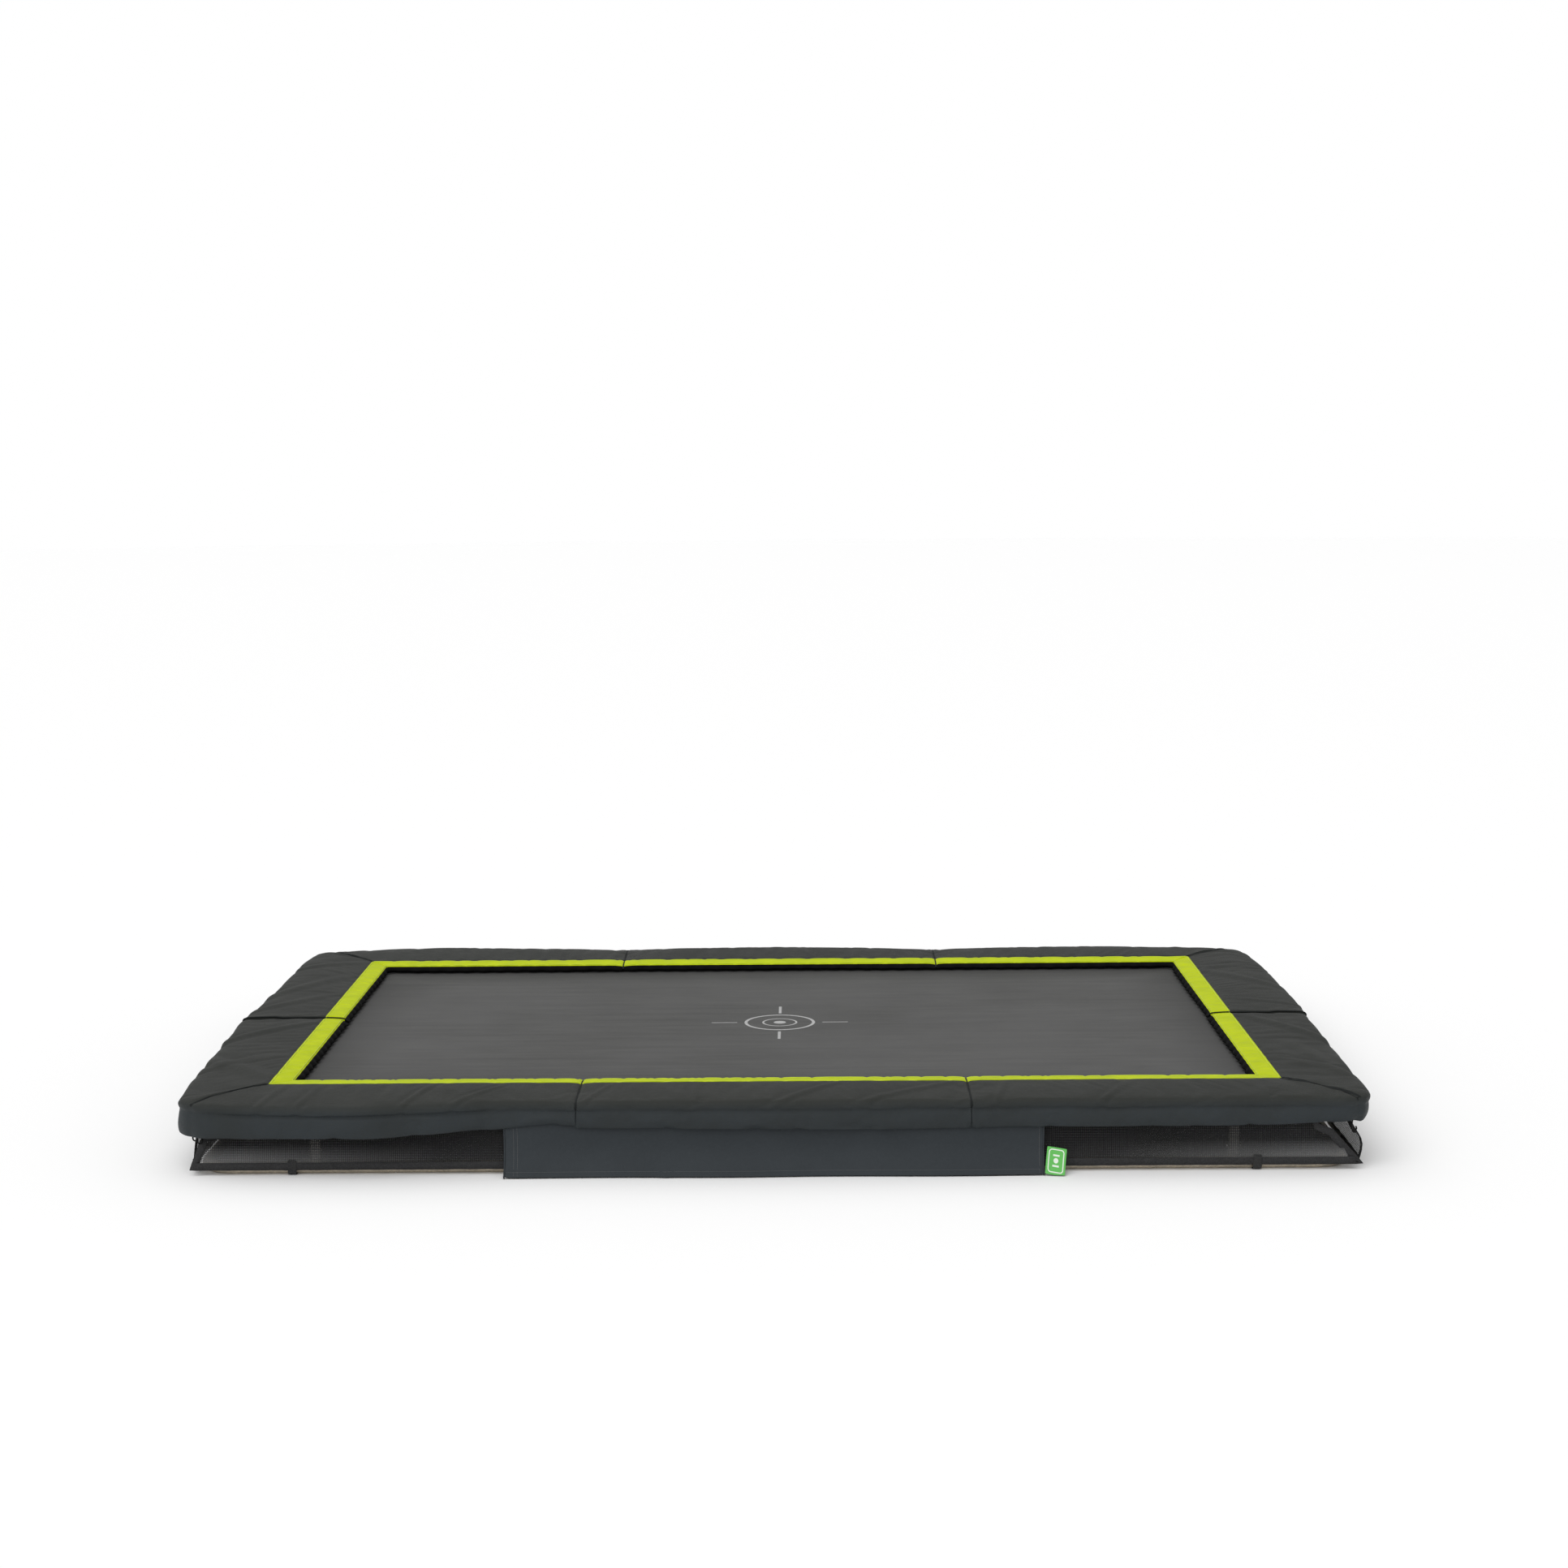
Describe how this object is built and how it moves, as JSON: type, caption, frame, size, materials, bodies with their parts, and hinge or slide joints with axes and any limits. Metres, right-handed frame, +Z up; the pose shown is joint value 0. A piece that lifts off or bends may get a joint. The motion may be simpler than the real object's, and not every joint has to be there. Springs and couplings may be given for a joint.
{
  "type": "rectangular backyard trampoline",
  "caption": "Low rectangular trampoline: a steel tube frame on short legs, a woven mat hung on coil springs, foam safety pads with a sloping band, side nets and skirt panels.",
  "frame": {"origin": "middle of the rectangular footprint, on the ground", "axes": "+X along the long side, +Z up; the front, with the tag, faces -Y"},
  "size_m": [3.72, 2.5, 0.246],
  "materials": {
    "galvanised_steel": "satin",
    "zinc_plated_steel": "satin",
    "charcoal_vinyl": "matte",
    "skirt_vinyl": "matte",
    "black_mat_weave": "matte",
    "black_webbing": "matte",
    "black_net": "matte",
    "green_tag": "matte"
  },
  "bodies": {
    "frame": {"corner_elbow_front_left": "galvanised_steel", "corner_elbow_front_right": "galvanised_steel", "corner_elbow_back_left": "galvanised_steel", "corner_elbow_back_right": "galvanised_steel", "top_rail_front_left": "galvanised_steel", "top_rail_front_right": "galvanised_steel", "top_rail_back_left": "galvanised_steel", "top_rail_back_right": "galvanised_steel", "leg_front_left": "galvanised_steel", "leg_front_middle": "galvanised_steel", "leg_front_right": "galvanised_steel", "leg_back_left": "galvanised_steel", "leg_back_middle": "galvanised_steel", "leg_back_right": "galvanised_steel", "leg_left": "galvanised_steel", "leg_right": "galvanised_steel", "base_corner_front_left": "galvanised_steel", "base_corner_front_right": "galvanised_steel", "base_corner_back_left": "galvanised_steel", "base_corner_back_right": "galvanised_steel", "base_rail_front_left": "galvanised_steel", "base_rail_front_right": "galvanised_steel", "base_rail_back_left": "galvanised_steel", "base_rail_back_right": "galvanised_steel", "base_rail_left": "galvanised_steel", "base_rail_right": "galvanised_steel", "leg_bolt_front_left": "zinc_plated_steel", "leg_bolt_front_middle": "zinc_plated_steel", "leg_bolt_front_right": "zinc_plated_steel", "leg_bolt_back_left": "zinc_plated_steel", "leg_bolt_back_middle": "zinc_plated_steel", "leg_bolt_back_right": "zinc_plated_steel", "leg_bolt_left": "zinc_plated_steel", "leg_bolt_right": "zinc_plated_steel", "spring_row_front": "zinc_plated_steel", "spring_row_back": "zinc_plated_steel", "spring_row_left": "zinc_plated_steel", "spring_row_right": "zinc_plated_steel", "pad_front_middle": "charcoal_vinyl", "pad_back_middle": "charcoal_vinyl", "pad_corner_front_left": "charcoal_vinyl", "pad_corner_front_right": "charcoal_vinyl", "pad_corner_back_left": "charcoal_vinyl", "pad_corner_back_right": "charcoal_vinyl", "skirt_panel_front": "skirt_vinyl", "skirt_panel_back": "skirt_vinyl", "net_strap_front_1": "black_webbing", "net_strap_front_2": "black_webbing", "net_strap_back_1": "black_webbing", "net_strap_back_2": "black_webbing", "side_net_front": "black_net", "side_net_back": "black_net", "side_net_left": "black_net", "side_net_right": "black_net", "side_tag": "green_tag"},
    "mat": {"jumping_mat": "black_mat_weave", "mat_hem": "black_webbing"}
  },
  "joints": [
    {"name": "mat_bounce", "type": "slide", "parent": "frame", "child": "mat", "axis": [0, 0, 1], "range_m": [-0.15, 0], "stiffness_N_per_m": 5500, "springref_m": 0.008, "deforming": ["spring_row_front", "spring_row_back", "spring_row_left", "spring_row_right"]}
  ]
}
